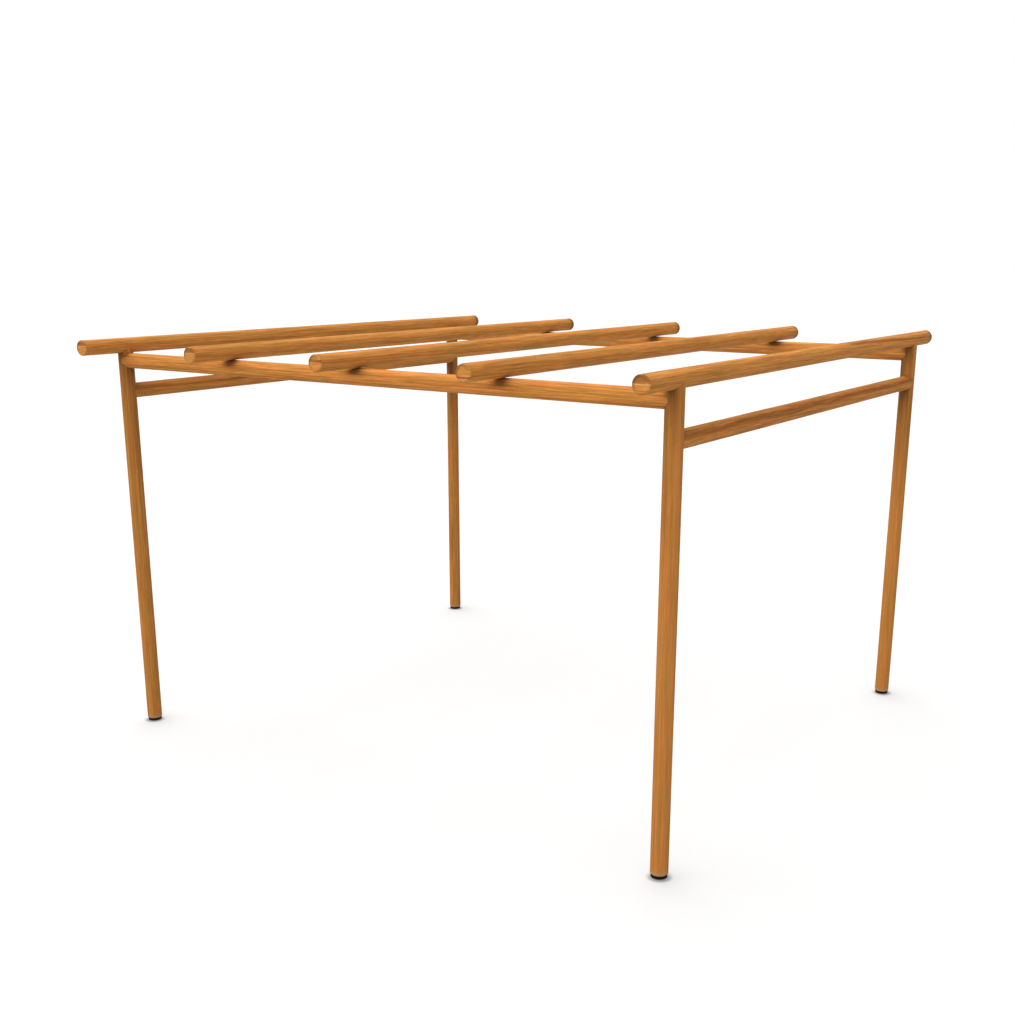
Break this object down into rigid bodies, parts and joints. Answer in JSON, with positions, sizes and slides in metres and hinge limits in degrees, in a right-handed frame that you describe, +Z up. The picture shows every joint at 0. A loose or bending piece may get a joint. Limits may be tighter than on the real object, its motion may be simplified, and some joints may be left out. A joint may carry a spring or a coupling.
{
  "type": "wooden pergola",
  "caption": "Open garden pergola of round turned poles: posts on low feet, beams and side rails coped onto the posts, and evenly spaced rafters lying across the beams.",
  "frame": {"origin": "on the floor, at the middle of the plan between the four posts", "axes": "+X along the beams from left to right, +Y along the rafters from front to back, +Z up"},
  "size_m": [3.975, 4, 2.5474],
  "materials": {
    "oiled_wood": "turned and sanded round pole, oiled, orange-brown with fine lengthwise grain",
    "foot": "matte black moulded pad"
  },
  "bodies": {
    "root": {"front_left_post": "oiled_wood", "front_left_foot": "foot", "front_right_post": "oiled_wood", "front_right_foot": "foot", "back_left_post": "oiled_wood", "back_left_foot": "foot", "back_right_post": "oiled_wood", "back_right_foot": "foot", "front_beam": "oiled_wood", "back_beam": "oiled_wood", "left_side_rail": "oiled_wood", "right_side_rail": "oiled_wood", "rafter_1": "oiled_wood", "rafter_2": "oiled_wood", "rafter_3": "oiled_wood", "rafter_4": "oiled_wood", "rafter_5": "oiled_wood"}
  },
  "joints": []
}
